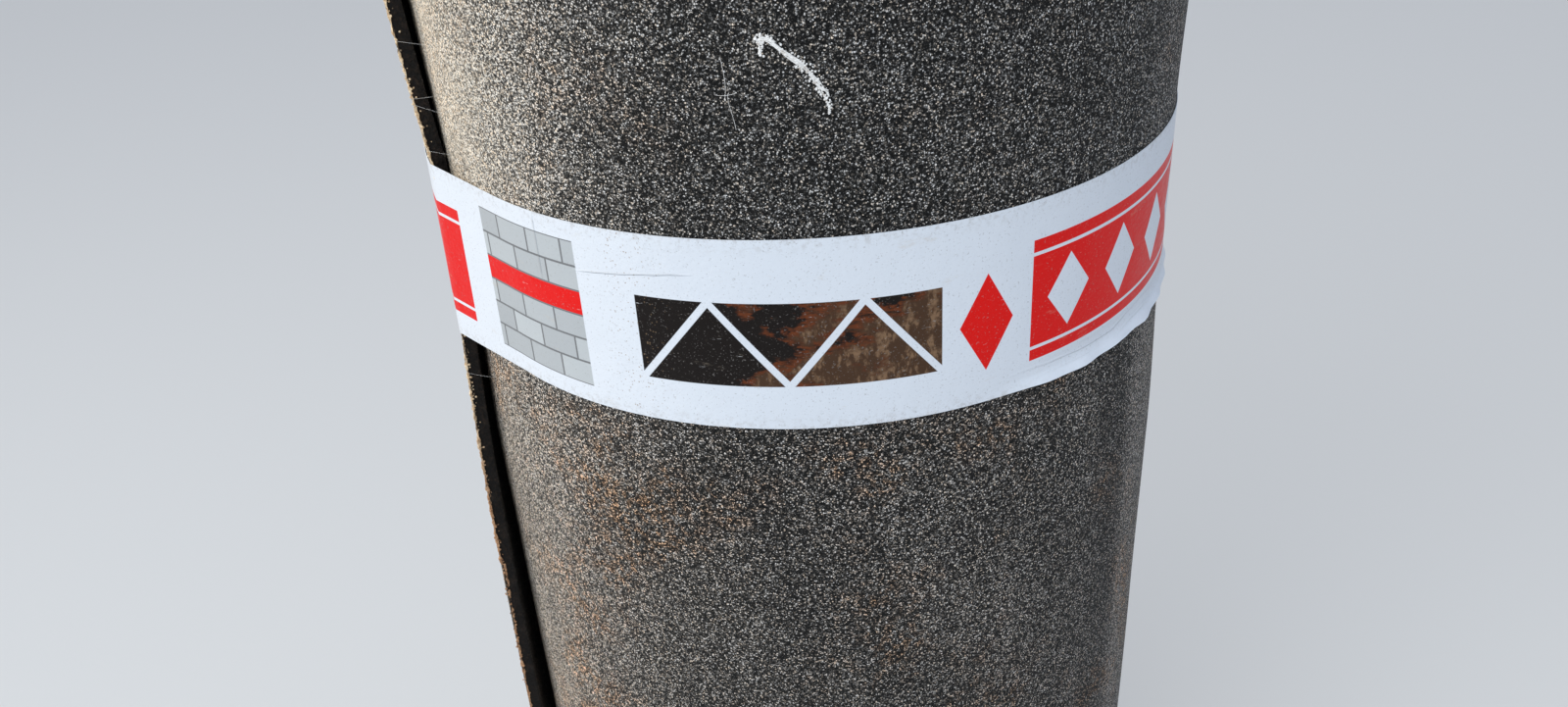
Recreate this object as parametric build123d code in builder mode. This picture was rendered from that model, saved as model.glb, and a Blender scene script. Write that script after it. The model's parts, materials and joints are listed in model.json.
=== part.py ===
"""A roll of sanded roofing felt, standing on its end, held shut by a band of tape.

The felt is one long sheet wound without a core. In plan its turns are half circles struck
from two centres half a pitch apart, so that each full turn lies one pitch outside the last.
The last stretch of the sheet, the lap, springs off the roll everywhere but under the tape.
The origin is on the axis of the bore, on the face that the roll stands on, and -Y is the front.
"""

import os
from math import acos, degrees, exp

from build123d import *

# Driving dimensions of the felt, in millimetres and degrees
roll_width = 1000.0
sheet_pitch = 4.0
turn_count = 17
bore_radius = 35.0

# The sheet's two ends: both are at the same angle, seen from above, one outside and one in the bore
end_angle = 205.0
inner_end_ramp = 75.0

# The lap: how long it is, and how far it stands off at the tape and far from the tape
lap_angle = 24.0
lap_gap_at_tape = 1.4
lap_gap_free = 7.2
lap_spring_length = 75.0
lap_section_shares = (0.0, 0.1, 0.25, 0.5, 0.75, 1.0)

# The seam between the turns, as it shows on both ends of the roll
seam_width = 0.8
seam_depth = 2.5

# The tape
tape_width = 50.0
tape_height = 500.0
tape_thickness = 0.3
tape_clearance = 0.2

# What follows from them
sheet_thickness = sheet_pitch
roll_radius = bore_radius + turn_count * sheet_pitch
half_pitch = sheet_pitch / 2
release_angle = end_angle - lap_angle
tape_bottom = tape_height - tape_width / 2
tape_top = tape_height + tape_width / 2


def polar(radius, angle, center=(0.0, 0.0)):
    """The point at a radius and an angle from a centre."""
    return Vector(*center) + Vector(radius, 0).rotate(Axis.Z, angle)


def along(angle):
    """The direction in which the sheet runs at an angle, from its inner end to its outer end."""
    return Vector(0, 1).rotate(Axis.Z, angle)


# The front half circles are struck from the axis, the rear ones from half a pitch behind it
front_center = (0.0, 0.0)
rear_center = tuple(polar(half_pitch, end_angle))[:2]


def lap_gap(height):
    """How far the lap's end stands off the roll at a height: least along the tape."""
    from_tape = max(height - tape_top, tape_bottom - height, 0.0)
    return lap_gap_free - (lap_gap_free - lap_gap_at_tape) * exp(-from_tape / lap_spring_length)


def lap_section(height):
    """The lap's section at a height: two arcs that leave the roll on its tangent, and the cut end."""
    gap = lap_gap(height)
    root_outside = polar(roll_radius + half_pitch, release_angle, rear_center)
    root_inside = polar(roll_radius - half_pitch, release_angle, rear_center)
    end_inside = polar(roll_radius + gap, end_angle)
    end_outside = polar(roll_radius + gap + sheet_thickness, end_angle)
    with BuildSketch(Plane.XY.offset(height)) as section:
        with BuildLine():
            TangentArc(root_outside, end_outside, tangent=along(release_angle))
            Line(end_outside, end_inside)
            TangentArc(root_inside, end_inside, tangent=along(release_angle))
            Line(root_inside, root_outside)
        make_face()
    return section


with BuildPart() as felt_roll:
    # The wound body, with the step where the lap leaves it
    with BuildSketch():
        with BuildLine():
            CenterArc(front_center, roll_radius, end_angle, 180)
            CenterArc(rear_center, roll_radius + half_pitch, end_angle - 180, 180 - lap_angle)
            Line(
                polar(roll_radius + half_pitch, release_angle, rear_center),
                polar(roll_radius - half_pitch, release_angle, rear_center),
            )
            CenterArc(rear_center, roll_radius - half_pitch, release_angle, lap_angle)
        make_face()
    extrude(amount=roll_width)

    # The lap: straight under the tape, lofted from there to both ends of the roll
    with BuildSketch(Plane.XY.offset(tape_bottom)):
        add(lap_section(tape_bottom).sketch)
    extrude(amount=tape_width)
    for edge, end in ((tape_top, roll_width), (tape_bottom, 0.0)):
        loft([lap_section(edge + share * (end - edge)).sketch for share in lap_section_shares])

    # The bore, and the ramp by which the first turn climbs over the sheet's inner end
    with BuildSketch():
        Circle(bore_radius)
        with BuildLine():
            ramp_start = polar(bore_radius, end_angle - inner_end_ramp)
            ramp_end = polar(bore_radius + sheet_pitch, end_angle)
            TangentArc(ramp_start, ramp_end, tangent=along(end_angle - inner_end_ramp))
            Line(ramp_end, front_center)
            Line(front_center, ramp_start)
        make_face()
    extrude(amount=roll_width, mode=Mode.SUBTRACT)

    # The seam of the turns: a notch between their edges, at both ends
    seam_radii = [bore_radius + turn * sheet_pitch for turn in range(1, turn_count)]
    for center, from_front, way_round in ((front_center, 0.0, 1), (rear_center, half_pitch, -1)):
        with BuildSketch(Plane((*center, 0), x_dir=polar(1, end_angle), z_dir=-along(end_angle))):
            for height, depth in ((0.0, seam_depth), (roll_width, -seam_depth)):
                with Locations(*((radius + from_front, height) for radius in seam_radii)):
                    Polygon((-seam_width / 2, 0), (seam_width / 2, 0), (0, depth), align=None)
        revolve(axis=Axis((*center, 0), (0, 0, way_round)), revolution_arc=180, mode=Mode.SUBTRACT)

with BuildPart() as tape_band:
    # Round the roll, over the lap's corner and straight from there to the roll again
    corner_radius = roll_radius + lap_gap_at_tape + sheet_thickness
    bridge_angle = degrees(acos(roll_radius / corner_radius))
    with BuildSketch(Plane.XY.offset(tape_bottom)):
        with BuildLine():
            CenterArc(front_center, roll_radius, end_angle + bridge_angle, 180 - bridge_angle)
            CenterArc(rear_center, roll_radius + half_pitch, end_angle - 180, 180 - lap_angle)
            TangentArc(
                polar(roll_radius + half_pitch, release_angle, rear_center),
                polar(corner_radius, end_angle),
                tangent=along(release_angle),
            )
            Line(polar(corner_radius, end_angle), polar(roll_radius, end_angle + bridge_angle))
        make_face()
        inside = offset(amount=tape_clearance, mode=Mode.PRIVATE)
        offset(amount=tape_clearance + tape_thickness)
        add(inside, mode=Mode.SUBTRACT)
    extrude(amount=tape_width)

os.makedirs("parts", exist_ok=True)

felt_roll.part.label = "felt_roll"
export_step(felt_roll.part, "parts/felt_roll.step")

tape_band.part.label = "tape_band"
export_step(tape_band.part, "parts/tape_band.step")

sheet_area = felt_roll.part.volume / sheet_pitch / 1e6
print(f"roll radius {roll_radius:.1f} mm, about {sheet_area * 1000 / roll_width:.1f} m of sheet")
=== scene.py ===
"""A roll of sanded roofing felt, standing on its end, held shut by a band of printed tape."""

import json
import math
import random

import bpy
from mathutils import Matrix, Vector, noise


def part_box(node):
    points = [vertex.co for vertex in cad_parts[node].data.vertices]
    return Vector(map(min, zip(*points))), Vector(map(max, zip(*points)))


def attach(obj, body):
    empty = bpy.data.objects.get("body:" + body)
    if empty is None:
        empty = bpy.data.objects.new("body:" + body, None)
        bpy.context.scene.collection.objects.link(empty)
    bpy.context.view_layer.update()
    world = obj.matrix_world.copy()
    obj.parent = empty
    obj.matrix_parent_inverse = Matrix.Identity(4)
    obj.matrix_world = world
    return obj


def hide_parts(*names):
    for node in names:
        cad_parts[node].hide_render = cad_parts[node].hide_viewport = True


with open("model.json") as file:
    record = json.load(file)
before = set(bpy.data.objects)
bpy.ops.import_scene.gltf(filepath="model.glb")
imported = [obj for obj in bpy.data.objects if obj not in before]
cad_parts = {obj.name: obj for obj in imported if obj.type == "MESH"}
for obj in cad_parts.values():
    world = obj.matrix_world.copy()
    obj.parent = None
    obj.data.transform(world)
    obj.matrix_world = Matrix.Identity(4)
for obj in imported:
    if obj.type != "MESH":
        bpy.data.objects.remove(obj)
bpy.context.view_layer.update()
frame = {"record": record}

# The frame's own sizes, in metres
roll_low, roll_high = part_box("felt_roll")
tape_low, tape_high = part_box("tape_band")
ROLL_HEIGHT = roll_high.z - roll_low.z
TAPE_MIDDLE = (tape_low.z + tape_high.z) / 2
TAPE_WIDTH = tape_high.z - tape_low.z
BORE_RADIUS = next(m for m in frame["record"]["mounts"] if m["name"] == "bore")["dims"]["r_mm"] / 1000

FULL_TURN = 2 * math.pi
HALF_TURN = math.pi

# The felt, wound as in the CAD model: half turns about two centres half a pitch apart
SHEET_PITCH = 0.004
SHEET_THICKNESS = 0.00392
HALF_PITCH = SHEET_PITCH / 2
TURNS = 17
ROLL_RADIUS = BORE_RADIUS + TURNS * SHEET_PITCH
END_ANGLE = math.radians(205)
INNER_RAMP = math.radians(75)
SLACK = 0.0011

# How far the turns' edges stay inside the roll's ends, and how far the inner turns wander up and down
INNER_TURNS_MARGIN = 0.0021
OUTER_TURN_MARGIN = 0.0011
TURN_WANDER = 0.0008

# The lap springs off the roll, a little further below the tape than above it
LAP_ANGLE = math.radians(24)
RELEASE_ANGLE = END_ANGLE - LAP_ANGLE
LAP_GAP_TAPE_TOP = 0.0006
LAP_GAP_TAPE_BOTTOM = 0.0023
LAP_GAP_FREE = 0.0072
LAP_GAP_RANGE = LAP_GAP_FREE - LAP_GAP_TAPE_TOP
LAP_SPRING_LENGTH = 0.075
LAP_CURL = 2.4

# Below this height over the tape's middle, the lap's facing is torn off a little further in
TEAR_HEIGHT = -0.108
TEAR_LENGTH = 0.04

# What the cut end sheds
HAIR_COUNT = 90
CRUMB_COUNT = 1300
CRUMB_SIZE = 0.00027

# The tape, and the lip where its lower edge has come unstuck
TAPE_THICKNESS = 0.00015
TAPE_CLEARANCE = 0.00012
TAPE_CORNER_RADIUS = ROLL_RADIUS + LAP_GAP_TAPE_TOP + SHEET_PITCH + TAPE_CLEARANCE
LIP_HEIGHT = 0.0055
LIP_LIFT = 0.0034

# The meshes' steps round the roll, and the cuts of the upright edges that they are spun from
FINE_STEP = 0.005
COARSE_STEP = 0.0075
TAPE_STEP = 0.0025
INNER_CUTS = (11,)
OUTER_CUTS = (17, 17)
TAPE_CUTS = (5, 9)

# The band's print is laid out from the lap's corner both ways to the back, and fits twice round the roll
BACK_ANGLE = math.pi / 2
WAY_TO_BACK = (END_ANGLE - BACK_ANGLE) * (ROLL_RADIUS + HALF_PITCH)
WAY_ROUND = WAY_TO_BACK + (FULL_TURN - END_ANGLE + BACK_ANGLE) * ROLL_RADIUS
PRINT_REPEAT = WAY_ROUND / 2
PRINT_SOFTNESS = 0.00008

# The felt's sand, and the side that gets the most painted sunlight
GRAIN_SIZE = 0.0004
SUNLIT_SIDE_ANGLE = math.radians(200)


FRONT_CENTER = Vector((0, 0, 0))


def polar(radius, angle, center=FRONT_CENTER):
    """The point at a radius and an angle from a centre, in plan."""
    return center + Vector((math.cos(angle), math.sin(angle), 0)) * radius


REAR_CENTER = polar(HALF_PITCH, END_ANGLE)
ALONG_END = Vector((-math.sin(END_ANGLE), math.cos(END_ANGLE), 0))


def angle_of(place):
    """A point's angle about the axis, from 0 to a full turn."""
    return math.atan2(place.y, place.x) % FULL_TURN


def tangent_arc(start, last_center, end):
    """The centre, radius and sweep of the arc from start to end that goes on smoothly from the last arc."""
    outward = (start - last_center).normalized()
    reach = end - start
    radius = -reach.length_squared / (2 * reach.dot(outward))
    center = start - outward * radius
    first, last = start - center, end - center
    sweep = math.atan2(first.cross(last).z, first.dot(last))
    return center, radius, sweep


def share(value, low, high):
    """How far a value has come from low to high, smoothly, and held at 0 and 1."""
    part = min(max((value - low) / (high - low), 0), 1)
    return part * part * (3 - 2 * part)


# Editing meshes


def start_clean():
    """Leaves edit mode and deselects everything."""
    if bpy.context.mode != "OBJECT":
        bpy.ops.object.mode_set(mode="OBJECT")
    bpy.ops.object.select_all(action="DESELECT")


def make_only(obj):
    """Makes one object the selected and active one."""
    start_clean()
    obj.select_set(True)
    bpy.context.view_layer.objects.active = obj


def select_where(obj, test):
    """Goes into edit mode with just those vertices selected that pass a test."""
    make_only(obj)
    bpy.ops.object.mode_set(mode="EDIT")
    bpy.ops.mesh.select_mode(type="VERT")
    bpy.ops.mesh.select_all(action="DESELECT")
    bpy.ops.object.mode_set(mode="OBJECT")
    for vertex in obj.data.vertices:
        vertex.select = test(vertex)
    bpy.ops.object.mode_set(mode="EDIT")


def upright_edge(name, place, low, high, cuts):
    """A new object with one upright edge, cut up by each number in turn, selected in edit mode."""
    start_clean()
    height = high - low
    bpy.ops.mesh.primitive_plane_add(size=height, rotation=(math.pi / 2, 0, 0))
    obj = bpy.context.object
    obj.name = name
    bpy.ops.object.transform_apply(location=True, rotation=True, scale=True)
    select_where(obj, lambda corner: corner.co.x > 0)
    bpy.ops.mesh.delete(type="VERT")
    bpy.ops.mesh.select_all(action="SELECT")
    bpy.ops.transform.translate(value=(place.x + height / 2, place.y, low + height / 2))
    for number in cuts:
        bpy.ops.mesh.subdivide(number_cuts=number)
    return obj


def spin(center, angle, segment):
    """Spins the selected upright edge anticlockwise about a centre, in steps of about a segment's angle."""
    steps = max(2, round(abs(angle) / segment))
    bpy.ops.mesh.spin(steps=steps, angle=-angle, center=center, axis=(0, 0, 1))


def face_out(obj):
    """Turns the faces of a sheet wound about the axis so that they look away from the axis."""
    bpy.ops.mesh.select_all(action="SELECT")
    bpy.ops.mesh.normals_make_consistent(inside=False)
    bpy.ops.object.mode_set(mode="OBJECT")
    outward = sum(polygon.normal.dot(polygon.center.xy.to_3d()) for polygon in obj.data.polygons)
    if outward < 0:
        bpy.ops.object.mode_set(mode="EDIT")
        bpy.ops.mesh.flip_normals()
        bpy.ops.object.mode_set(mode="OBJECT")


def modify(obj, kind, **settings):
    """Adds a modifier with its settings and applies it."""
    make_only(obj)
    modifier = obj.modifiers.new(kind.title(), kind)
    for name, value in settings.items():
        setattr(modifier, name, value)
    bpy.ops.object.modifier_apply(modifier=modifier.name)


def weigh(obj, name, weight_at):
    """A vertex group whose weights come from each vertex's place; gives the group's name."""
    group = obj.vertex_groups.new(name=name)
    for vertex in obj.data.vertices:
        weight = weight_at(vertex.co)
        if weight > 0:
            group.add([vertex.index], min(weight, 1.0), "REPLACE")
    return group.name


def clouds(name, size):
    """A clouds texture for a Displace modifier."""
    texture = bpy.data.textures.new(name, "CLOUDS")
    texture.noise_scale = size
    texture.noise_depth = 2
    return texture


def smooth(obj, degrees):
    """Shades smooth, with edges sharper than an angle left sharp."""
    make_only(obj)
    bpy.ops.object.shade_smooth_by_angle(angle=math.radians(degrees))


def join(name, objects):
    """One object made of several, named and given back."""
    start_clean()
    for obj in objects:
        obj.select_set(True)
    bpy.context.view_layer.objects.active = objects[0]
    bpy.ops.object.join()
    objects[0].name = name
    bpy.ops.object.transform_apply(location=True, rotation=True, scale=True)
    return objects[0]


# The felt's sheet


def lap_gap(height):
    """How far the lap's end stands off the roll at a height."""
    part = min(max((height - TAPE_MIDDLE) / TAPE_WIDTH + 0.5, 0), 1)
    at_tape = LAP_GAP_TAPE_BOTTOM + part * (LAP_GAP_TAPE_TOP - LAP_GAP_TAPE_BOTTOM)
    from_tape = max(abs(height - TAPE_MIDDLE) - TAPE_WIDTH / 2, 0)
    return LAP_GAP_FREE - (LAP_GAP_FREE - at_tape) * math.exp(-from_tape / LAP_SPRING_LENGTH)


def lap_spring(height):
    """The lap's gap at a height as a share, from 0 at the tape's upper edge to 1 where the lap is free."""
    return (lap_gap(height) - LAP_GAP_TAPE_TOP) / LAP_GAP_RANGE


def lap_share(place):
    """How far along the lap a point of the outer turn lies: 0 at its root, 1 at the cut end."""
    on_lap = math.hypot(place.x, place.y) > ROLL_RADIUS - SHEET_PITCH + HALF_PITCH / 2
    angle = angle_of(place)
    just_past = 0.05
    if not on_lap or not RELEASE_ANGLE < angle < END_ANGLE + just_past:
        return 0
    return (angle - RELEASE_ANGLE) / LAP_ANGLE


def lap_lift(place):
    """How much of the lap's spring a point of the lap takes part in: none at its root, all at its end."""
    return lap_spring(place.z) * lap_share(place) ** LAP_CURL


def slack(place):
    """Where the outer turn bulges and waves: not under the tape, and not at the cut end."""
    from_tape = abs(place.z - TAPE_MIDDLE) - TAPE_WIDTH / 2
    return share(from_tape, 0.001, 0.05) * (1 - share(lap_share(place), 0.7, 1))


def inner_turns():
    """All turns but the outermost, from the ledge in the bore to where the outer turn takes over."""
    start = polar(BORE_RADIUS, END_ANGLE)
    top = ROLL_HEIGHT - INNER_TURNS_MARGIN
    obj = upright_edge("felt_inner_turns", start, INNER_TURNS_MARGIN, top, INNER_CUTS)
    spin(FRONT_CENTER, FULL_TURN - INNER_RAMP, FINE_STEP / BORE_RADIUS)
    ramp_start = polar(BORE_RADIUS, END_ANGLE - INNER_RAMP)
    ramp_end = polar(BORE_RADIUS + SHEET_PITCH, END_ANGLE)
    center, radius, sweep = tangent_arc(ramp_start, FRONT_CENTER, ramp_end)
    spin(center, sweep, FINE_STEP / radius)
    wander = random.Random(7)
    level = 0
    for turn in range(1, TURNS - 1):
        segment = COARSE_STEP / (BORE_RADIUS + turn * SHEET_PITCH)
        last = turn == TURNS - 2
        new_level = 0 if last else wander.uniform(-TURN_WANDER, TURN_WANDER)
        spin(FRONT_CENTER, HALF_TURN, segment)
        bpy.ops.transform.translate(value=(0, 0, new_level - level))
        spin(REAR_CENTER, HALF_TURN - LAP_ANGLE if last else HALF_TURN, segment)
        level = new_level
    face_out(obj)
    return obj


def outer_turn():
    """The outermost turn and the lap, on a fine grid, from under the lap round to the cut end."""
    middle_radius = ROLL_RADIUS - SHEET_PITCH
    segment = FINE_STEP / ROLL_RADIUS
    start = polar(middle_radius - HALF_PITCH, RELEASE_ANGLE, REAR_CENTER)
    top = ROLL_HEIGHT - OUTER_TURN_MARGIN
    obj = upright_edge("felt_outer_turn", start, OUTER_TURN_MARGIN, top, OUTER_CUTS)
    spin(REAR_CENTER, LAP_ANGLE, segment)
    spin(FRONT_CENTER, HALF_TURN, segment)
    spin(REAR_CENTER, HALF_TURN - LAP_ANGLE, segment)
    lap_root = polar(middle_radius + HALF_PITCH, RELEASE_ANGLE, REAR_CENTER)
    lap_end = polar(ROLL_RADIUS + LAP_GAP_TAPE_TOP, END_ANGLE)
    center, _, sweep = tangent_arc(lap_root, REAR_CENTER, lap_end)
    spin(center, sweep, segment)
    face_out(obj)
    lap = weigh(obj, "lap", lap_lift)
    loose = weigh(obj, "loose", slack)
    modify(obj, "DISPLACE", strength=LAP_GAP_RANGE, mid_level=0, vertex_group=lap)
    modify(obj, "DISPLACE", strength=SLACK, mid_level=0, vertex_group=loose)
    waves = clouds("sheet waves", 0.07)
    modify(obj, "DISPLACE", texture=waves, strength=0.0008, mid_level=0.5, vertex_group=loose)
    return obj


def thicken(obj, faces, edges):
    """Gives the sheet its thickness outwards, with its outer face's vertices first, and marks them."""
    obj.data.materials.append(faces)
    obj.data.materials.append(edges)
    outside = len(obj.data.vertices)
    modify(obj, "SOLIDIFY", thickness=SHEET_THICKNESS, offset=1.0, material_offset_rim=1)
    across = obj.data.attributes.new("across", "FLOAT", "POINT")
    for vertex in obj.data.vertices:
        across.data[vertex.index].value = 1.0 if vertex.index < outside else 0.0


def finish_sheet(obj):
    """Rounds the sheet's cut edges and makes its ends slightly uneven."""
    modify(obj, "BEVEL", width=0.0005, segments=2, limit_method="ANGLE", angle_limit=math.radians(50))
    end_zone = 0.01
    ends = weigh(obj, "ends", lambda place: 1.0 if min(place.z, ROLL_HEIGHT - place.z) < end_zone else 0)
    modify(
        obj, "DISPLACE", texture=clouds("end waves", 0.009), direction="Z", strength=0.0011,
        mid_level=0.5, vertex_group=ends, texture_coords="LOCAL",
    )
    smooth(obj, 40)


def cut_end_line(sheet):
    """The outer corner of the outer turn's cut end, as an object: the last column of its outer face."""
    rows = math.prod(number + 1 for number in OUTER_CUTS) + 1
    outside = len(sheet.data.vertices) // 2
    select_where(sheet, lambda vertex: outside - rows <= vertex.index < outside)
    bpy.ops.mesh.duplicate()
    bpy.ops.mesh.separate(type="SELECTED")
    bpy.ops.object.mode_set(mode="OBJECT")
    return next(obj for obj in bpy.context.selected_objects if obj is not sheet)


def torn_share(place):
    """How far in the facing is torn off: at once at one height, and less and less below it."""
    below = TAPE_MIDDLE + TEAR_HEIGHT - place.z
    return 0 if below < 0 else 1 - 0.7 * share(below, 0, TEAR_LENGTH)


def frayed_facing(line):
    """The torn edge of the sheet's facing, which stands a little proud of the cut end."""
    rooted, steps = 0.0004, (0.0003, 0.0002, 0.0003)
    select_where(line, lambda vertex: True)
    bpy.ops.mesh.subdivide(number_cuts=5)
    bpy.ops.transform.translate(value=ALONG_END * -rooted)
    for step in steps:
        bpy.ops.mesh.extrude_region_move(TRANSFORM_OT_translate={"value": ALONG_END * step})
    face_out(line)
    torn_off = weigh(line, "torn off", torn_share)
    modify(line, "DISPLACE", strength=-0.0009, mid_level=0, vertex_group=torn_off)
    modify(line, "SOLIDIFY", thickness=0.0004, offset=-1.0)
    for name, size, strength in (("tears", 0.0024, 0.0011), ("lint", 0.0009, 0.0009)):
        texture = clouds(name, size)
        modify(line, "DISPLACE", texture=texture, strength=strength, mid_level=0.5, texture_coords="LOCAL")
    return line


def lumps(count, size, seed, place_for):
    """Small lumps copied from a few uneven shapes, each put where a function says."""
    pick = random.Random(seed)
    shapes = []
    for _ in range(5):
        start_clean()
        bpy.ops.mesh.primitive_ico_sphere_add(subdivisions=1, radius=size)
        bpy.ops.transform.resize(value=[pick.uniform(0.5, 1.3) for _ in range(3)])
        shapes.append(bpy.context.object)
    made = list(shapes)
    for _ in range(count):
        lump = bpy.data.objects.new("lump", pick.choice(shapes).data.copy())
        bpy.context.collection.objects.link(lump)
        made.append(lump)
    for lump in made:
        lump.location = place_for(pick)
        lump.rotation_euler = [pick.uniform(0, 6) for _ in range(3)]
        lump.scale = [pick.uniform(0.4, 1.5)] * 3
    return made


def strand(places, radius):
    """A thin thread through a few points, as a mesh."""
    curve = bpy.data.curves.new("strand", "CURVE")
    curve.dimensions = "3D"
    curve.bevel_depth = radius
    curve.bevel_resolution = 0
    curve.resolution_u = 4
    spline = curve.splines.new("NURBS")
    spline.points.add(len(places) - 1)
    for point, place in zip(spline.points, places):
        point.co = (*place, 1)
    spline.use_endpoint_u = True
    obj = bpy.data.objects.new("strand", curve)
    bpy.context.collection.objects.link(obj)
    make_only(obj)
    bpy.ops.object.convert(target="MESH")
    return bpy.context.object


def crumbs(line_places):
    """Loose crumbs stuck along the cut end, most of them near the sheet's outer face."""

    def beside_line(pick):
        place = pick.choice(line_places)
        outward = place.xy.to_3d().normalized() * pick.triangular(-0.0017, 0.0003, -0.0001)
        along = ALONG_END * pick.uniform(-0.0002, 0.0008)
        return place + outward + along + Vector((0, 0, pick.uniform(-0.0015, 0.0015)))

    return lumps(CRUMB_COUNT, CRUMB_SIZE, 23, beside_line)


def fibres(line_places):
    """Short hairs that stick out of the torn facing."""
    pick = random.Random(31)
    made = []
    for _ in range(HAIR_COUNT):
        root = pick.choice(line_places) - polar(pick.uniform(0, 0.0012), END_ANGLE)
        lean = ALONG_END * pick.uniform(0.0008, 0.002) + Vector((0, 0, pick.uniform(-0.0015, 0.0015)))
        curl = Vector([pick.uniform(-0.0008, 0.0008) for _ in range(3)])
        made.append(strand([root, root + lean * 0.5 + curl, root + lean + curl * 0.5], 0.00005))
    return made


# The tape


def tape_path():
    """The band's stretches as (centre, radius, sweep), from the roll's front round to the lap's corner."""
    out = ROLL_RADIUS + TAPE_CLEARANCE
    lap_root = polar(out + HALF_PITCH, RELEASE_ANGLE, REAR_CENTER)
    return [
        (FRONT_CENTER, out, HALF_TURN - math.acos(out / TAPE_CORNER_RADIUS)),
        (REAR_CENTER, out + HALF_PITCH, HALF_TURN - LAP_ANGLE),
        tangent_arc(lap_root, REAR_CENTER, polar(TAPE_CORNER_RADIUS, END_ANGLE)),
    ]


def along_tape(place):
    """How far along the band a point lies from the lap's corner, in metres, negative towards the back."""
    angle = angle_of(place)
    if BACK_ANGLE < angle < END_ANGLE:
        return (angle - END_ANGLE) * (ROLL_RADIUS + HALF_PITCH)
    return (angle - END_ANGLE) % FULL_TURN * ROLL_RADIUS


def tape_spring(place):
    """How much of the lap's spring the band takes part in: over the lap and on the bridge beside it."""
    angle = angle_of(place)
    if angle <= END_ANGLE:
        return lap_lift(place)
    _, _, front_sweep = tape_path()[0]
    bridge = HALF_TURN - front_sweep
    return lap_spring(place.z) * max(1 - (angle - END_ANGLE) / bridge, 0)


def loose_lip(place):
    """Where the band's lower edge has come unstuck: at the front right, in short waves."""
    azimuth = math.degrees(math.atan2(place.y, place.x))
    edge = max(TAPE_MIDDLE - TAPE_WIDTH / 2 + LIP_HEIGHT - place.z, 0) / LIP_HEIGHT
    stretch = share(azimuth, -66, -50) * (1 - share(azimuth, 4, 24))
    waves = 0.62 - 0.18 * share(azimuth, -40, -15) + 0.6 * noise.noise(Vector((azimuth * 0.16, 0, 3)))
    return edge ** 1.6 * stretch * waves


def tape_band():
    """The band: spun round the roll and the lap, then drawn straight from the lap's corner to the roll."""
    path = tape_path()
    _, front_radius, front_sweep = path[0]
    start = polar(front_radius, END_ANGLE + HALF_TURN - front_sweep)
    inset = 0.0002
    half = TAPE_WIDTH / 2 - inset
    obj = upright_edge("tape_band_printed", start, TAPE_MIDDLE - half, TAPE_MIDDLE + half, TAPE_CUTS)
    for center, _, sweep in path:
        spin(center, sweep, TAPE_STEP / ROLL_RADIUS)
    corner = polar(TAPE_CORNER_RADIUS, END_ANGLE)
    steps = 12
    for _ in range(steps):
        bpy.ops.mesh.extrude_region_move(TRANSFORM_OT_translate={"value": (start - corner) / steps})
    bpy.ops.mesh.select_all(action="SELECT")
    bpy.ops.mesh.remove_doubles(threshold=0.0002)
    face_out(obj)
    return obj


def map_print(obj):
    """A UV map in metres: along the band from the lap's corner, and up from its middle."""
    layer = obj.data.uv_layers.new(name="print")
    vertices, loops = obj.data.vertices, obj.data.loops
    for polygon in obj.data.polygons:
        spans = [along_tape(vertices[loops[i].vertex_index].co) for i in polygon.loop_indices]
        most = max(spans)
        for loop, span in zip(polygon.loop_indices, spans):
            if most - span > PRINT_REPEAT:
                span += WAY_ROUND
            layer.data[loop].uv = (span, vertices[loops[loop].vertex_index].co.z - TAPE_MIDDLE)


def finish_tape(obj):
    """Lets the band follow the lap, loosens its lower edge and gives it its thickness."""
    spring = weigh(obj, "lap", tape_spring)
    lip = weigh(obj, "lip", loose_lip)
    modify(obj, "DISPLACE", strength=LAP_GAP_RANGE, mid_level=0, vertex_group=spring)
    modify(obj, "DISPLACE", strength=LIP_LIFT, mid_level=0, vertex_group=lip)
    modify(
        obj, "DISPLACE", texture=clouds("lip waves", 0.014), direction="Z", strength=0.003, mid_level=0.5,
        vertex_group=lip, texture_coords="LOCAL",
    )
    modify(obj, "SOLIDIFY", thickness=TAPE_THICKNESS, offset=1.0)
    smooth(obj, 40)


# The white streak and the cobweb on the felt


def on_roll(azimuth, above_tape, out=0.0):
    """A point on the roll's face, by its azimuth in degrees and its millimetres above the tape's middle."""
    place = polar(ROLL_RADIUS + SLACK + out, math.radians(azimuth))
    return place + Vector((0, 0, TAPE_MIDDLE + above_tape / 1000))


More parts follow.
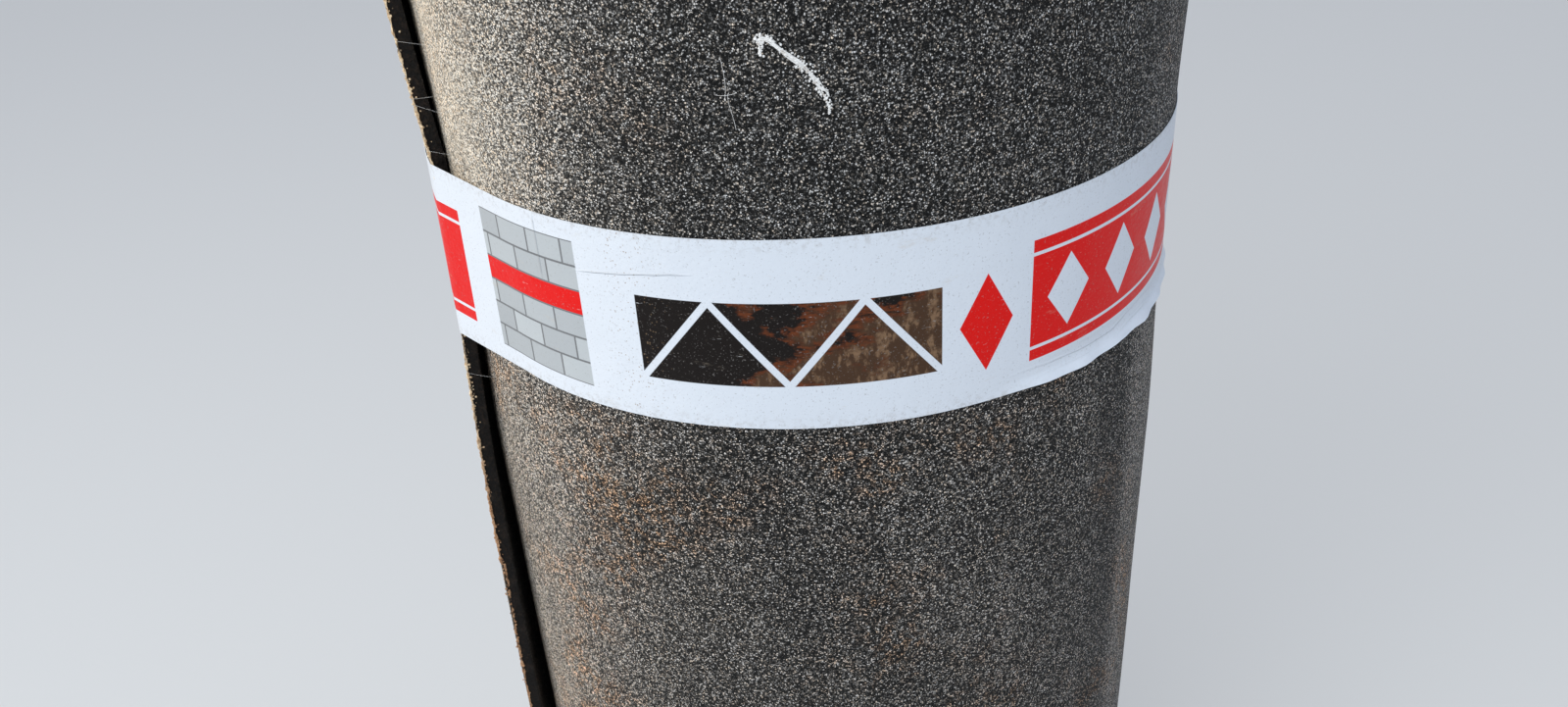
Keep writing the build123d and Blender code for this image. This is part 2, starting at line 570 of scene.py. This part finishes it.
def white_streak():
    """A matted, crumbly white strand, bent over like a hook."""
    pick = random.Random(5)

    # By azimuth in degrees, millimetres above the tape's middle, and width
    course = [
        (-94.5, 66.2, 0.6), (-94.7, 68.1, 0.7), (-94.5, 69.7, 0.9), (-93.8, 69.6, 0.7), (-93.0, 68.3, 0.5),
        (-91.7, 66.0, 0.9), (-90.4, 64.4, 1.1), (-89.4, 62.3, 1.2), (-88.5, 59.6, 1.2), (-87.7, 57.6, 1.0),
        (-87.3, 55.6, 0.5), (-87.3, 53.3, 0.2),
    ]
    made = []
    for _ in range(10):
        first = pick.choice((0, 1, 2, 4))
        last = pick.choice((9, 10, 12))
        places = []
        for azimuth, height, width in course[first:last]:
            azimuth += pick.uniform(-0.4, 0.4) * width
            height += pick.uniform(-0.7, 0.7) * width
            places.append(on_roll(azimuth, height, pick.uniform(0, 0.0004)))
        made.append(strand(places, pick.uniform(0.00009, 0.0002)))

    def beside_course(pick):
        start = pick.randrange(len(course) - 1)
        part = pick.random()
        azimuth, height, width = (a + (b - a) * part for a, b in zip(course[start], course[start + 1]))
        azimuth += pick.gauss(0, 0.32) * width
        height += pick.gauss(0, 0.55) * width
        return on_roll(azimuth, height, 0.0001)

    return made + lumps(260, 0.00024, 11, beside_course)


def cobweb():
    """Faint threads: a wisp on the roll's face, and a few across the gap beside the lap's end."""
    wisps = [
        [(-99.2, 66.2), (-98.6, 60.5), (-99.0, 57.4)],
        [(-98.5, 58.6), (-99.0, 57.4), (-98.3, 54.8), (-98.0, 50.6)],
        [(-100.2, 58.2), (-98.9, 57.6), (-97.6, 58.6)],
    ]
    across_gap = [(0.0575, 0.001), (0.0425, -0.0012), (0.041, 0.002), (0.0285, 0.0005), (-0.038, 0.001)]
    made = []
    for wisp in wisps:
        made.append(strand([on_roll(azimuth, height, 0.0002) for azimuth, height in wisp], 0.00004))
    for height, drop in across_gap:
        level = TAPE_MIDDLE + height
        rim = polar(ROLL_RADIUS + lap_gap(level) + SHEET_THICKNESS, END_ANGLE) + Vector((0, 0, level))
        foot = polar(ROLL_RADIUS, END_ANGLE + 0.05) + Vector((0, 0, level - drop))
        middle = (rim + foot) / 2 + ALONG_END * 0.0008
        made.append(strand([rim, middle, foot], 0.00002))
    return made


# Building shaders


def put(tree, socket, value):
    """Sets a socket to a value, or links an output to it."""
    if isinstance(value, bpy.types.NodeSocket):
        tree.links.new(value, socket)
    else:
        socket.default_value = value


def add(tree, kind, settings=None, **inputs):
    """A shader node with its settings, and its inputs set or linked by name."""
    made = tree.nodes.new(kind)
    for name, value in (settings or {}).items():
        setattr(made, name, value)
    for name, value in inputs.items():
        put(tree, made.inputs[name.replace("_", " ")], value)
    return made


def calc(tree, operation, *values, clamp=False):
    """The result of a Math node."""
    made = add(tree, "ShaderNodeMath", {"operation": operation, "use_clamp": clamp})
    for socket, value in zip(made.inputs, values):
        put(tree, socket, value)
    return made.outputs[0]


def total(tree, *values):
    """The sum of several values."""
    result = values[0]
    for value in values[1:]:
        result = calc(tree, "ADD", result, value)
    return result


def product(tree, *values):
    """The product of several values."""
    result = values[0]
    for value in values[1:]:
        result = calc(tree, "MULTIPLY", result, value)
    return result


def apart(tree, value, middle):
    """How far a value is from a middle one."""
    return calc(tree, "ABSOLUTE", calc(tree, "SUBTRACT", value, middle))


def ramp(tree, value, low, high, to_low=0.0, to_high=1.0):
    """A value brought from one range to another, smoothly, and held at both ends."""
    made = add(tree, "ShaderNodeMapRange", {"interpolation_type": "SMOOTHSTEP"}, Value=value)
    for name, number in (("From Min", low), ("From Max", high), ("To Min", to_low), ("To Max", to_high)):
        put(tree, made.inputs[name], number)
    return made.outputs[0]


def within(tree, value, low, high, soft):
    """A mask that is 1 between two values."""
    above_low = ramp(tree, value, low - soft, low + soft)
    below_high = ramp(tree, value, high + soft, high - soft)
    return product(tree, above_low, below_high)


def blend(tree, amount, first, second, kind="MIX"):
    """A mix of two colours."""
    made = add(tree, "ShaderNodeMix", {"data_type": "RGBA", "blend_type": kind})
    for index, value in ((0, amount), (6, first), (7, second)):
        put(tree, made.inputs[index], value)
    return made.outputs[2]


def tinted(tree, amount, color, tint):
    """A colour multiplied by a tint, as far as an amount says."""
    return blend(tree, amount, color, blend(tree, 1.0, color, tint, "MULTIPLY"))


def vector_calc(tree, operation, *values):
    """The result of a Vector Math node: a number for a dot product, else a vector."""
    made = add(tree, "ShaderNodeVectorMath", {"operation": operation})
    for socket, value in zip(made.inputs, values):
        put(tree, socket, value)
    return made.outputs["Value" if operation == "DOT_PRODUCT" else "Vector"]


def xyz(tree, vector):
    """A vector's parts, by their names."""
    return add(tree, "ShaderNodeSeparateXYZ", None, Vector=vector).outputs


def random_draws(tree, cells):
    """Three random numbers for each cell of a Voronoi texture."""
    return add(tree, "ShaderNodeSeparateColor", None, Color=cells.outputs["Color"]).outputs


def clouded(tree, vector, scale, detail=2.0, roughness=0.5):
    """A noise texture's value, around 0.5; three scales draw it out along the axes."""
    if isinstance(scale, tuple):
        vector = vector_calc(tree, "MULTIPLY", vector, scale)
        scale = 1.0
    made = add(
        tree, "ShaderNodeTexNoise", None, Vector=vector, Scale=scale, Detail=detail, Roughness=roughness,
    )
    return made.outputs[0]


def new_group(name, inputs, outputs):
    """A new shader node group with its sockets; gives the tree, its input sockets and its output node."""
    tree = bpy.data.node_groups.new(name, "ShaderNodeTree")
    for way, sockets in (("INPUT", inputs), ("OUTPUT", outputs)):
        for socket, kind in sockets.items():
            tree.interface.new_socket(socket, in_out=way, socket_type=kind)
    return tree, tree.nodes.new("NodeGroupInput").outputs, tree.nodes.new("NodeGroupOutput").inputs


def use_group(tree, group, **inputs):
    """A node group placed in a material; gives its outputs."""
    made = tree.nodes.new("ShaderNodeGroup")
    made.node_tree = group
    for name, value in inputs.items():
        put(tree, made.inputs[name], value)
    return made.outputs


def material(name):
    """A new material; gives it, its tree, its Principled shader and its Object coordinates."""
    made = bpy.data.materials.new(name)
    made.use_nodes = True
    tree = made.node_tree
    shader = next(node for node in tree.nodes if node.type == "BSDF_PRINCIPLED")
    places = tree.nodes.new("ShaderNodeTexCoord").outputs["Object"]
    return made, tree, shader, places


def relief(tree, shader, height, depth, strength=1.0):
    """Relief of a height on a shader, as deep as a length in metres."""
    bump = add(tree, "ShaderNodeBump", None, Height=height, Distance=depth, Strength=strength)
    put(tree, shader.inputs["Normal"], bump.outputs[0])


# The felt's materials


def pressed_sand():
    """Sand pressed into bitumen: how light each grain is, its tint and its relief."""
    tree, given, out = new_group(
        "pressed sand",
        {"Vector": "NodeSocketVector", "Grain": "NodeSocketFloat"},
        {"Tone": "NodeSocketFloat", "Tint": "NodeSocketFloat", "Height": "NodeSocketFloat"},
    )
    scale = calc(tree, "DIVIDE", 1.0, given["Grain"])

    # Grains of two sizes, at places shifted a little so that they lie unevenly
    wander = add(
        tree, "ShaderNodeTexNoise", None,
        Vector=given["Vector"], Scale=product(tree, scale, 0.6), Detail=1.0,
    )
    shift = vector_calc(tree, "MULTIPLY", wander.outputs["Color"], product(tree, given["Grain"], 1.6))
    place = vector_calc(tree, "ADD", given["Vector"], shift)
    cells = add(tree, "ShaderNodeTexVoronoi", None, Vector=place, Scale=scale)
    fine_cells = add(tree, "ShaderNodeTexVoronoi", None, Vector=place, Scale=product(tree, scale, 2.1))
    draw = random_draws(tree, cells)
    fine_draw = random_draws(tree, fine_cells)
    dome = ramp(tree, cells.outputs["Distance"], 0.75, 0.15)

    # Few grains are pale, and each is palest in its middle and darker towards its rim: painted shading of
    # its rounded form, over the dark bitumen between the grains
    clump = clouded(tree, given["Vector"], product(tree, scale, 0.28))
    grain = product(tree, calc(tree, "POWER", draw[0], 1.7), total(tree, product(tree, dome, 0.7), 0.3))
    tone = total(
        tree, product(tree, calc(tree, "SUBTRACT", grain, 0.25), 2.0),
        product(tree, calc(tree, "SUBTRACT", fine_draw[0], 0.5), 0.5),
        product(tree, calc(tree, "SUBTRACT", clump, 0.5), 0.15),
    )
    put(tree, out["Tone"], tone)
    put(tree, out["Tint"], draw[2])
    put(tree, out["Height"], total(tree, product(tree, dome, draw[1]), product(tree, fine_draw[1], 0.25)))
    return tree


def weathering_and_painted_light():
    """Painted sunlight on the side towards the key light, a painted sheen at the front right, and where
    rust has run and dust has settled.
    """
    tree, given, out = new_group(
        "weathering_and_painted_light",
        {"Vector": "NodeSocketVector"},
        {name: "NodeSocketFloat" for name in ("PaintedSunlight", "Rust", "PatchesAndSheen", "Low")},
    )
    place = xyz(tree, given["Vector"])
    level = add(tree, "ShaderNodeCombineXYZ", None, X=place["X"], Y=place["Y"]).outputs[0]
    way_out = vector_calc(tree, "NORMALIZE", level)
    facing = vector_calc(tree, "DOT_PRODUCT", way_out, polar(1, SUNLIT_SIDE_ANGLE))
    toward = calc(tree, "MAXIMUM", calc(tree, "DIVIDE", calc(tree, "SUBTRACT", facing, 0.5), 0.5), 0)
    low = ramp(tree, place["Z"], TAPE_MIDDLE + 0.01, TAPE_MIDDLE - 0.05, 0.35, 1.0)
    put(tree, out["Low"], low)

    # Painted sunlight: paler towards the side facing the key light, more above the tape than below it
    patches = clouded(tree, given["Vector"], 28.0, 4.0, 0.6)
    uneven = total(tree, 0.75, product(tree, patches, 0.5))
    above = ramp(tree, place["Z"], TAPE_MIDDLE - 0.03, TAPE_MIDDLE + 0.03, 0.46, 1.0)
    put(tree, out["PaintedSunlight"], product(tree, calc(tree, "POWER", toward, 2.35), above, uneven))

    # Rusty dust, mostly below the tape
    stains = total(tree, clouded(tree, given["Vector"], 24.0, 4.0, 0.66), product(tree, toward, 0.07))
    put(tree, out["Rust"], product(tree, ramp(tree, stains, 0.50, 0.68), low))

    # Patches, upright runs, and at the front right a painted sheen as a pale rim beside a darker stripe,
    # mostly below the tape
    runs = clouded(tree, given["Vector"], (45, 45, 9), 3.0, 0.6)
    runs = product(tree, calc(tree, "SUBTRACT", runs, 0.5), low, 0.9)
    way = xyz(tree, way_out)
    side, front = way["X"], ramp(tree, way["Y"], 0.10, -0.35)
    rim = product(tree, ramp(tree, side, 0.79, 0.85), front, low, uneven)
    stripe = product(tree, ramp(tree, side, 0.66, 0.76), ramp(tree, side, 0.84, 0.78))
    stripe = product(tree, stripe, front, low, uneven, -0.4)
    put(tree, out["PatchesAndSheen"], total(tree, patches, runs, rim, stripe))
    return tree


def sanded_felt(sand, weather_and_light):
    """The felt's faces: bitumen with pale sand pressed in, with painted sunlight on one side and a painted
    sheen at the front right, dusty and rust-stained in places.
    """
    made, tree, shader, places = material("sanded felt")
    grains = use_group(tree, sand, Vector=places, Grain=GRAIN_SIZE)
    wear = use_group(tree, weather_and_light, Vector=places)
    outside = add(tree, "ShaderNodeAttribute", {"attribute_name": "across"}).outputs["Fac"]
    painted_sunlight = product(tree, wear["PaintedSunlight"], outside)
    fine_rust = ramp(tree, clouded(tree, places, 500.0), 0.4, 0.62)
    rust = product(tree, wear["Rust"], fine_rust, ramp(tree, painted_sunlight, 0.1, 0.9, 1, 0.3))

    # How light each grain is, and how dark the bitumen between the grains; painted sunlight raises the
    # grains' contrast and the tone on the side facing the key light, and the patches carry a painted sheen
    # at the front right
    base_tone, tone_power = 0.274, 2.4
    contrast = ramp(tree, painted_sunlight, 0, 0.5, 0.59, 0.85)
    patches = product(tree, calc(tree, "SUBTRACT", wear["PatchesAndSheen"], 0.5), 0.16)
    tone = total(
        tree, base_tone, product(tree, grains["Tone"], contrast), product(tree, painted_sunlight, 0.74),
        product(tree, wear["Low"], 0.025), patches,
    )
    tone = product(tree, tone, ramp(tree, outside, 0, 1, 0.6, 1))
    shade = calc(tree, "POWER", calc(tree, "MAXIMUM", tone, 0.05), tone_power, clamp=True)

    # The grains' own tints, then a warm tint of painted sunlight, and those of dust and rust
    tint = add(tree, "ShaderNodeValToRGB", None, Fac=grains["Tint"])
    stops = tint.color_ramp.elements
    stops.new(0.5)
    for stop, color in zip(stops, ((1.06, 0.90, 0.73, 1), (1.0, 0.97, 0.92, 1), (1.0, 1.0, 1.0, 1))):
        stop.color = color
    grey = add(tree, "ShaderNodeCombineColor", None, Red=shade, Green=shade, Blue=shade).outputs[0]
    color = blend(tree, 1.0, grey, tint.outputs["Color"], "MULTIPLY")
    color = tinted(tree, product(tree, painted_sunlight, 0.7), color, (1.08, 0.98, 0.80, 1))
    color = tinted(tree, product(tree, wear["Low"], 0.7), color, (1.07, 0.995, 0.93, 1))
    color = tinted(tree, product(tree, rust, 0.85), color, (1.34, 0.88, 0.55, 1))
    put(tree, shader.inputs["Base Color"], color)
    shader.inputs["Roughness"].default_value = 0.7
    shader.inputs["Specular IOR Level"].default_value = 0.25
    relief(tree, shader, grains["Height"], 0.00028, 0.9)
    return made


def cut_bitumen():
    """The felt's cut edges: torn brown-black bitumen, with the pale facing at the outer side."""
    made, tree, shader, places = material("cut bitumen")
    tear = clouded(tree, places, 900.0, 4.0, 0.6)
    clumps = clouded(tree, places, 160.0, 3.0)
    across = add(tree, "ShaderNodeAttribute", {"attribute_name": "across"}).outputs["Fac"]
    color = blend(tree, ramp(tree, tear, 0.42, 0.78), (0.005, 0.004, 0.0035, 1), (0.030, 0.021, 0.016, 1))
    color = blend(tree, ramp(tree, clumps, 0.55, 0.75, 0, 0.4), color, (0.045, 0.032, 0.024, 1))
    facing = ramp(tree, total(tree, across, product(tree, tear, 0.3)), 0.98, 1.1)
    color = blend(tree, product(tree, facing, 0.6), color, (0.22, 0.17, 0.12, 1))
    put(tree, shader.inputs["Base Color"], color)
    put(tree, shader.inputs["Roughness"], ramp(tree, tear, 0.3, 0.7, 0.6, 0.9))
    shader.inputs["Specular IOR Level"].default_value = 0.2
    relief(tree, shader, total(tree, tear, clumps), 0.0006)
    return made


def torn_facing():
    """The frayed facing: tan lint with darker crumbs, its pale lint partly painted sunlight, and darker
    below the tape partly by painted shade.
    """
    made, tree, shader, places = material("torn facing")
    lint = clouded(tree, places, 1400.0, 3.0, 0.65)
    clumps = clouded(tree, places, 300.0, 3.0)
    # The lint's pale tan is partly its own colour and partly painted sunlight on the lit fringe
    color = blend(tree, ramp(tree, lint, 0.35, 0.65), (0.56, 0.37, 0.21, 1), (0.98, 0.79, 0.54, 1))
    color = blend(tree, ramp(tree, clumps, 0.56, 0.66, 0, 0.8), color, (0.08, 0.05, 0.03, 1))
    # Darker and browner below the tape: partly a browner colour, partly painted shade
    low = ramp(tree, xyz(tree, places)["Z"], TAPE_MIDDLE - 0.04, TAPE_MIDDLE - 0.09)
    put(tree, shader.inputs["Base Color"], tinted(tree, low, color, (0.62, 0.46, 0.38, 1)))
    shader.inputs["Roughness"].default_value = 0.85
    relief(tree, shader, lint, 0.0003)
    return made


def dried_white():
    """White matter dried onto the felt, and dusty cobweb."""
    made, tree, shader, places = material("dried white")
    uneven = clouded(tree, places, 1200.0)
    color = blend(tree, ramp(tree, uneven, 0.35, 0.65), (0.86, 0.84, 0.81, 1), (1.0, 0.985, 0.96, 1))
    dirt = ramp(tree, clouded(tree, places, 800.0, 3.0), 0.56, 0.68, 0, 0.6)
    put(tree, shader.inputs["Base Color"], blend(tree, dirt, color, (0.45, 0.37, 0.29, 1)))
    shader.inputs["Roughness"].default_value = 0.7
    relief(tree, shader, uneven, 0.0002)
    return made


# The tape's material


def lozenge(tree, across, up, middle, flatness):
    """A lozenge about a middle height, by how far a point is across from its upright middle line."""
    half_width, soft = 0.0071, 0.0001
    slope = total(tree, across, product(tree, apart(tree, up, middle), flatness))
    return ramp(tree, slope, half_width + soft, half_width - soft)


def tape_print():
    """The band's print, repeated along it: how much red, grey and black ink there is at a point."""
    tree, given, out = new_group(
        "tape print",
        {"Vector": "NodeSocketVector"},
        {
            "Red": "NodeSocketFloat", "Grey": "NodeSocketColor", "Patch": "NodeSocketFloat",
            "Black": "NodeSocketFloat",
        },
    )
    place = xyz(tree, given["Vector"])
    along = calc(tree, "FLOORED_MODULO", place["X"], PRINT_REPEAT)
    up = place["Y"]

    def level(low, high):
        return within(tree, up, low, high, PRINT_SOFTNESS)

    def stretch(first, last):
        return within(tree, along, first, last, PRINT_SOFTNESS)

    # A wall of grey bricks with a red course
    bricks = add(
        tree, "ShaderNodeTexBrick", {"offset": 0.5, "squash": 1.0}, Vector=given["Vector"], Scale=1.0,
        Color1=(0.52, 0.55, 0.56, 1), Color2=(0.40, 0.42, 0.43, 1), Mortar=(0.13, 0.13, 0.13, 1),
        Mortar_Size=0.0003, Mortar_Smooth=0.1, Brick_Width=0.012, Row_Height=0.0066,
    )
    wall = product(tree, stretch(0.022, 0.058), level(-0.0198, 0.0198))
    course = product(tree, wall, level(0.0002, 0.0064))

    # A black border of triangles, by turns upright and upside down
    first, last, half_base = 0.074, 0.146, 0.018
    low, high = -0.013, 0.009
    slant = calc(tree, "PINGPONG", calc(tree, "SUBTRACT", along, first), half_base)
    ridge = total(tree, product(tree, slant, (high - low) / half_base), low)
    between = ramp(tree, apart(tree, up, ridge), 0.0013, 0.0015)
    triangles = product(tree, between, stretch(first, last), level(low, high))

    # A red lozenge, then a red panel, on past the repeat, with white lozenges and lines
    single = lozenge(tree, apart(tree, along, 0.1575), up, -0.003, 0.55)
    panel = calc(tree, "ADD", stretch(0.170, PRINT_REPEAT + 1), stretch(-1, 0.010), clamp=True)
    panel = product(tree, panel, level(-0.0175, 0.0148))
    row = calc(tree, "PINGPONG", calc(tree, "SUBTRACT", along, 0.182), 0.0105)
    holes = product(tree, lozenge(tree, row, up, -0.0014, 0.72), stretch(0.171, 0.318))
    lines = calc(tree, "ADD", level(0.0107, 0.0116), level(-0.0145, -0.0136), clamp=True)
    kept = calc(tree, "SUBTRACT", 1.0, calc(tree, "MAXIMUM", holes, lines))
    red = calc(tree, "MAXIMUM", calc(tree, "MAXIMUM", product(tree, panel, kept), single), course)

    put(tree, out["Red"], red)
    put(tree, out["Grey"], bricks.outputs["Color"])
    put(tree, out["Patch"], wall)
    put(tree, out["Black"], triangles)
    return tree


def worn_black(tree, places, uv, wear):
    """The black ink, rubbed to bronze towards the right, with a rusty rim and pale upright streaks."""
    facing = vector_calc(tree, "DOT_PRODUCT", places, polar(1 / ROLL_RADIUS, math.radians(-55)))
    rubbed = total(
        tree, clouded(tree, places, (45, 45, 70), 5.0, 0.65), ramp(tree, facing, 0.5, 0.95, -0.12, 0.12),
    )
    color = blend(tree, ramp(tree, rubbed, 0.50, 0.62), (0.010, 0.007, 0.006, 1), (0.072, 0.036, 0.019, 1))
    rim = product(tree, ramp(tree, rubbed, 0.50, 0.54), ramp(tree, rubbed, 0.62, 0.55))
    rim = product(tree, rim, ramp(tree, wear, 0.35, 0.6))
    color = blend(tree, product(tree, rim, 0.75), color, (0.19, 0.045, 0.012, 1))
    streaks = ramp(tree, clouded(tree, uv, (330, 150, 1), 4.0, 0.7), 0.48, 0.62)
    streaks = product(tree, streaks, ramp(tree, rubbed, 0.56, 0.66))
    return blend(tree, product(tree, streaks, 0.85), color, (0.27, 0.160, 0.09, 1))


def soiled(tree, color, places, uv):
    """A colour of the tape with specks, brown spatter, dirt along its edges and smears."""
    place = xyz(tree, uv)
    specks = ramp(tree, clouded(tree, places, 2000.0), 0.62, 0.72, 0, 0.40)
    color = blend(tree, specks, color, (0.33, 0.31, 0.29, 1))
    cells = add(tree, "ShaderNodeTexVoronoi", None, Vector=places, Scale=1700.0)
    spatter = product(
        tree, calc(tree, "LESS_THAN", random_draws(tree, cells)[0], 0.14),
        ramp(tree, cells.outputs["Distance"], 0.42, 0.25), within(tree, place["X"], 0.066, 0.078, 0.008),
    )
    color = blend(tree, product(tree, spatter, 0.7), color, (0.33, 0.22, 0.13, 1))
    grime = ramp(tree, clouded(tree, places, 700.0, 3.0, 0.7), 0.45, 0.7)
    edge_dirt = product(tree, ramp(tree, calc(tree, "ABSOLUTE", place["Y"]), 0.020, 0.0249), grime)
    color = blend(tree, product(tree, edge_dirt, 0.3), color, (0.30, 0.24, 0.18, 1))
    smears = ramp(tree, clouded(tree, uv, (60, 150, 1), 6.0, 0.75), 0.60, 0.74, 0, 0.3)
    return blend(tree, smears, color, (0.60, 0.50, 0.38, 1))


def creases(tree, along, up, swell):
    """An upright crease over the wall of bricks, and one that climbs slowly towards the border's top."""
    upright = within(tree, along, 0.0456, 0.0460, 0.0002)
    upright = product(tree, upright, within(tree, up, 0.008, 0.0235, 0.002))
    course = total(tree, product(tree, along, 0.1115), product(tree, swell, 0.0015), 0.0052)
    climbing = ramp(tree, apart(tree, up, course), 0.0003, 0.0001)
    climbing = product(tree, climbing, within(tree, along, 0.060, 0.087, 0.004))
    return calc(tree, "MAXIMUM", upright, climbing)


def lip_folds(tree, uv, along, up):
    """Fine level folds just above the tape's loose lower edge."""
    drift = total(tree, up, product(tree, clouded(tree, uv, (28, 60, 1)), 0.006))
    folds = ramp(tree, calc(tree, "PINGPONG", drift, 0.0012), 0.0001, 0.0005)
    stretch = within(tree, along, 0.172, 0.232, 0.02)
    return product(tree, folds, stretch, within(tree, up, -0.0225, -0.0190, 0.0012))


def printed_tape(ink):
    """Glossy white tape with its print, worn ink, dirt, a painted highlight on its loose edge, creases with
    painted shade, and folds.
    """
    made, tree, shader, places = material("printed tape")
    uv = add(tree, "ShaderNodeUVMap", {"uv_map": "print"}).outputs[0]
    place = xyz(tree, uv)
    along, up = place["X"], place["Y"]
    inks = use_group(tree, ink, Vector=uv)
    wear = clouded(tree, uv, (220, 900, 1), 4.0, 0.7)
    swell = clouded(tree, places, 60.0)
    dimples = clouded(tree, places, 900.0)

    # The inks on the white, with chips out of the black and the red
    color = blend(tree, product(tree, inks["Patch"], 0.9), (0.79, 0.828, 0.885, 1), inks["Grey"])
    color = blend(tree, inks["Red"], color, (0.82, 0.008, 0.006, 1))
    color = blend(tree, inks["Black"], color, worn_black(tree, places, uv, wear))
    inked = calc(tree, "MAXIMUM", inks["Black"], inks["Red"])
    chips = product(tree, ramp(tree, wear, 0.66, 0.72, 0, 0.55), inked)
    color = blend(tree, chips, color, (0.70, 0.70, 0.70, 1))

    # Dirt, a painted highlight along the loose lower edge, and creases, darkened by painted shade
    color = soiled(tree, color, places, uv)
    lip_highlight = product(tree, within(tree, along, 0.165, 0.27, 0.012), ramp(tree, up, -0.0208, -0.0235))
    color = blend(tree, product(tree, lip_highlight, 0.8), color, (0.88, 0.93, 1.0, 1))
    crease = creases(tree, along, up, swell)
    # Painted shade along the creases, which are also raised in the relief
    color = blend(tree, product(tree, crease, 0.22), color, (0.42, 0.44, 0.47, 1))
    put(tree, shader.inputs["Base Color"], color)
    put(tree, shader.inputs["Roughness"], ramp(tree, wear, 0.3, 0.7, 0.28, 0.42))
    shader.inputs["Specular IOR Level"].default_value = 0.12

    height = total(
        tree, product(tree, swell, 1.2), product(tree, dimples, 0.2), product(tree, crease, 0.5),
        product(tree, lip_folds(tree, uv, along, up), -0.5),
    )
    relief(tree, shader, height, 0.0004)
    return made


def plain_floor():
    """A plain pale floor."""
    made, _, shader, _ = material("plain floor")
    shader.inputs["Base Color"].default_value = (0.80, 0.80, 0.79, 1)
    shader.inputs["Roughness"].default_value = 0.9
    return made


# Light, floor and camera


def lamp(kind, name, azimuth, elevation, distance, power, color, **settings):
    """A lamp at an azimuth and elevation about the tape's middle, turned towards it."""
    target = Vector((0, 0, TAPE_MIDDLE))
    level = math.cos(math.radians(elevation))
    away = polar(level, math.radians(azimuth)) + Vector((0, 0, math.sin(math.radians(elevation))))
    start_clean()
    bpy.ops.object.light_add(type=kind, location=target + away * distance)
    made = bpy.context.object
    made.name = name
    made.rotation_euler = (-away).to_track_quat("-Z", "Y").to_euler()
    made.data.energy = power
    made.data.color = color
    for setting, value in settings.items():
        setattr(made.data, setting, value)


def studio():
    """The floor, a soft low key light from the left, a wide cool fill in front and an even surround."""
    start_clean()
    bpy.ops.mesh.primitive_plane_add(size=80)
    floor = bpy.context.object
    floor.name = "floor"
    floor.data.materials.append(plain_floor())
    lamp(
        "SUN", "key", azimuth=172, elevation=34, distance=3, power=1.5, color=(1.0, 0.90, 0.75),
        angle=math.radians(12),
    )
    lamp(
        "AREA", "fill", azimuth=244, elevation=46, distance=2.2, power=33, color=(0.90, 0.935, 0.935),
        size=1.6,
    )
    world = bpy.data.worlds.new("studio")
    world.use_nodes = True
    tree = world.node_tree
    seen = add(tree, "ShaderNodeLightPath").outputs["Is Camera Ray"]
    color = blend(tree, seen, (0.298, 0.356, 0.455, 1), (0.60, 0.64, 0.68, 1))
    put(tree, tree.nodes["Background"].inputs["Color"], color)
    bpy.context.scene.world = world
    bpy.context.scene.view_settings.view_transform = "Standard"


def photo_camera():
    """The camera where it stood for the photograph: close in front, looking down, held slightly askew."""
    photo_width = 1600
    focal_pixels = 1286
    distance_out, above_tape = 3.4174 * ROLL_RADIUS, 1.3865 * ROLL_RADIUS
    yaw, pitch, askew = math.radians(-1.804), math.radians(30.49), math.radians(-3.965)
    ahead = Vector((math.sin(yaw) * math.cos(pitch), math.cos(yaw) * math.cos(pitch), -math.sin(pitch)))
    level = Vector((math.cos(yaw), -math.sin(yaw), 0))
    above = level.cross(ahead)
    right = level * math.cos(askew) + above * math.sin(askew)
    up = above * math.cos(askew) - level * math.sin(askew)
    data = bpy.data.cameras.new("photo camera")
    data.sensor_width = 36
    data.lens = focal_pixels / photo_width * data.sensor_width
    data.clip_start = 0.01
    camera = bpy.data.objects.new("photo camera", data)
    bpy.context.scene.collection.objects.link(camera)
    turn = Matrix((right, up, -ahead)).transposed().to_4x4()
    camera.matrix_world = Matrix.Translation((0, -distance_out, TAPE_MIDDLE + above_tape)) @ turn
    bpy.context.scene.camera = camera


# The roll, put together


def present(obj, slot, *replaced):
    """Attaches a finished piece to the root body and hides the CAD parts that it replaces."""
    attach(obj, "root")
    for node in replaced:
        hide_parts(node)


felt_faces = sanded_felt(pressed_sand(), weathering_and_painted_light())
felt_edges = cut_bitumen()
facing = torn_facing()

inner = inner_turns()
thicken(inner, felt_faces, felt_edges)
outer = outer_turn()
thicken(outer, felt_faces, felt_edges)
line = cut_end_line(outer)
clear_of_ends = 0.004
line_places = [
    vertex.co.copy() for vertex in line.data.vertices
    if clear_of_ends < vertex.co.z < ROLL_HEIGHT - clear_of_ends
]
for sheet in (inner, outer):
    finish_sheet(sheet)
    present(sheet, "sanded_felt", "felt_roll")

line.data.materials.clear()
line.data.materials.append(facing)
torn = [frayed_facing(line)]
shed = fibres(line_places) + crumbs(line_places)
for bit in shed:
    bit.data.materials.append(facing)
fringe = join("torn_facing_edge", torn + shed)
smooth(fringe, 60)
present(fringe, "sanded_felt", "felt_roll")

white = join("dried_streak_and_cobweb", white_streak() + cobweb())
white.data.materials.append(dried_white())
smooth(white, 60)
present(white, "sanded_felt")

band = tape_band()
map_print(band)
band.data.materials.append(printed_tape(tape_print()))
finish_tape(band)
present(band, "printed_tape", "tape_band")

studio()
photo_camera()

start_clean()
